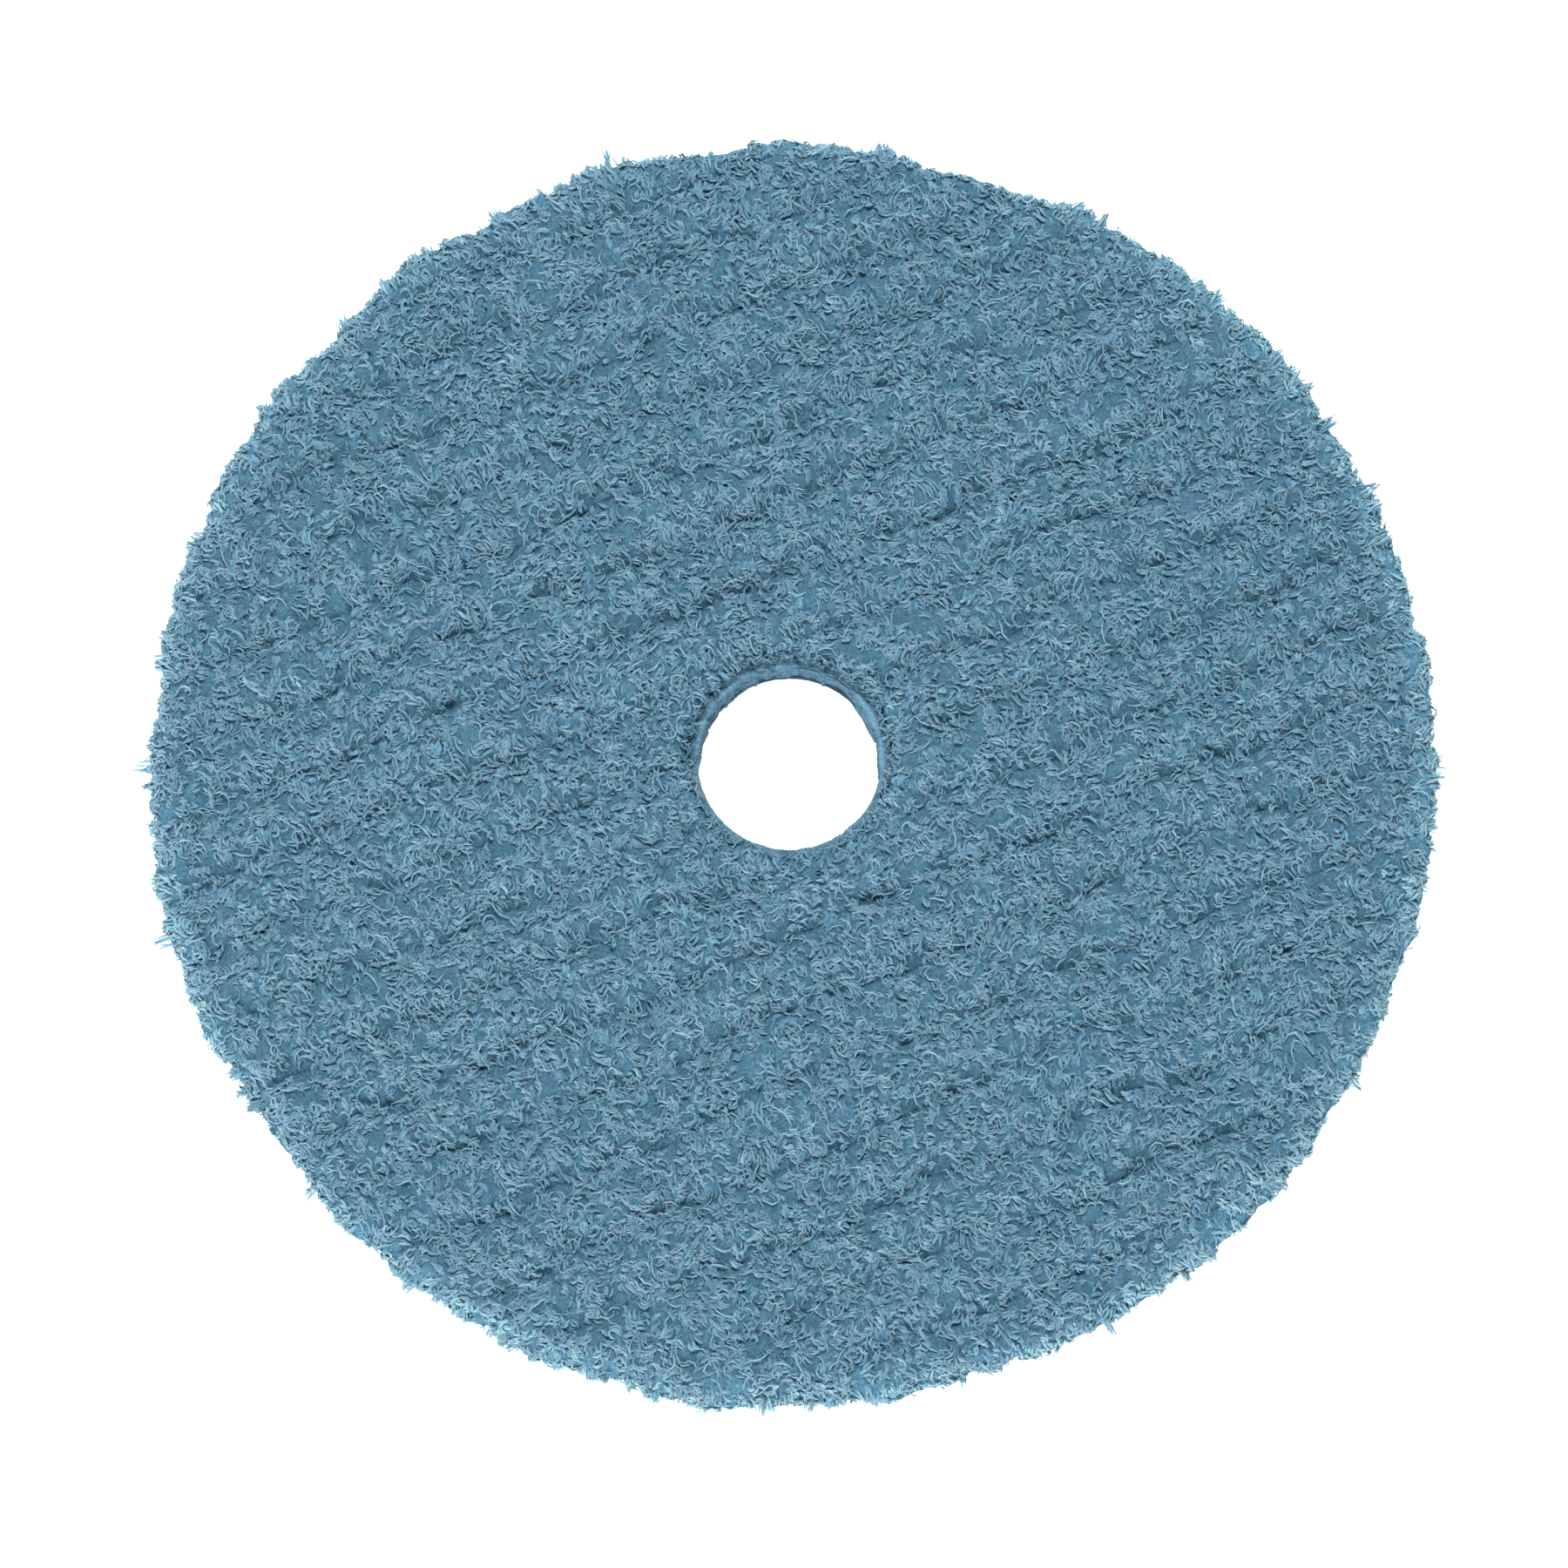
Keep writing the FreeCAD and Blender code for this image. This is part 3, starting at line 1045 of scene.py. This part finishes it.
def studio():
    """A plain white floor, an even sky and two soft lamps, the stronger one on the far side."""
    corners = [(x * FLOOR_HALF, y * FLOOR_HALF, 0) for x, y in ((-1, -1), (1, -1), (1, 1), (-1, 1))]
    mesh = bpy.data.meshes.new("floor")
    mesh.from_pydata(corners, [], [(0, 1, 2, 3)])
    paper, _, shader = new_material("white_floor", 0.9, specular=0.1)
    shader.inputs["Base Color"].default_value = (0.93, 0.93, 0.93, 1)
    shader.inputs["Emission Color"].default_value = (1, 1, 1, 1)
    shader.inputs["Emission Strength"].default_value = FLOOR_GLOW
    mesh.materials.append(paper)
    floor = bpy.data.objects.new("floor", mesh)
    bpy.context.scene.collection.objects.link(floor)
    world = bpy.data.worlds.new("studio")
    world.use_nodes = True
    sky = world.node_tree.nodes["Background"]
    sky.inputs["Color"].default_value = (0.84, 1.0, 1.08, 1)
    sky.inputs["Strength"].default_value = 0.46
    bpy.context.scene.world = world
    area_light("key_lamp", place_at=(0.02, 0.54, 1.12), size=0.34, power=21.2)
    area_light("fill_lamp", place_at=(-0.22, -0.62, 0.34), size=0.5, power=6.8)
    bpy.context.scene.view_settings.view_transform = "Standard"


CAMERA_ELEVATION = math.radians(80.8)
CAMERA_LENS = 90.0               # millimetres, on a sensor 36 mm wide
SENSOR = 36.0
VIEW_WIDTH = PILE_RADIUS * 2.407     # how much the picture takes in across the pad
AIM_OFFSET = (-0.65 * MM, -3.8 * MM)     # the pad sits a little up and to the right of the middle


def camera():
    data = bpy.data.cameras.new("camera")
    data.lens = CAMERA_LENS
    data.sensor_width = SENSOR
    distance = VIEW_WIDTH * CAMERA_LENS / SENSOR
    aim = Vector((AIM_OFFSET[0], AIM_OFFSET[1], TOP_Z))
    back = Vector((0, -math.cos(CAMERA_ELEVATION), math.sin(CAMERA_ELEVATION)))
    eye = bpy.data.objects.new("camera", data)
    eye.location = aim + back * distance
    eye.rotation_euler = (-back).to_track_quat("-Z", "Y").to_euler()
    bpy.context.scene.collection.objects.link(eye)
    bpy.context.scene.camera = eye


def main():
    camera()
    studio()
    wisp_rng = np.random.default_rng(SEED * 3)
    wisps = rim_wisps(wisp_rng).joined(hole_wisps(wisp_rng))
    yarn, felt_and_gap_shade = pile_yarn(), matted_fibre()
    pile = []
    for index in range(len(STRIPES)):
        rng = np.random.default_rng(SEED * 1000 + index)
        pile += [stripe_mat(index, felt_and_gap_shade), stripe_strands(rng, index, wisps, yarn)]
    foam_piece(foam_skin())
    knit_piece(knit_yarn())
    finish_films(hot_melt())
    loops = nap_yarn()
    nap = [nap_sector(sector, loops) for sector in range(NAP_SECTORS)]
    backing_piece(backing_yarn())


main()
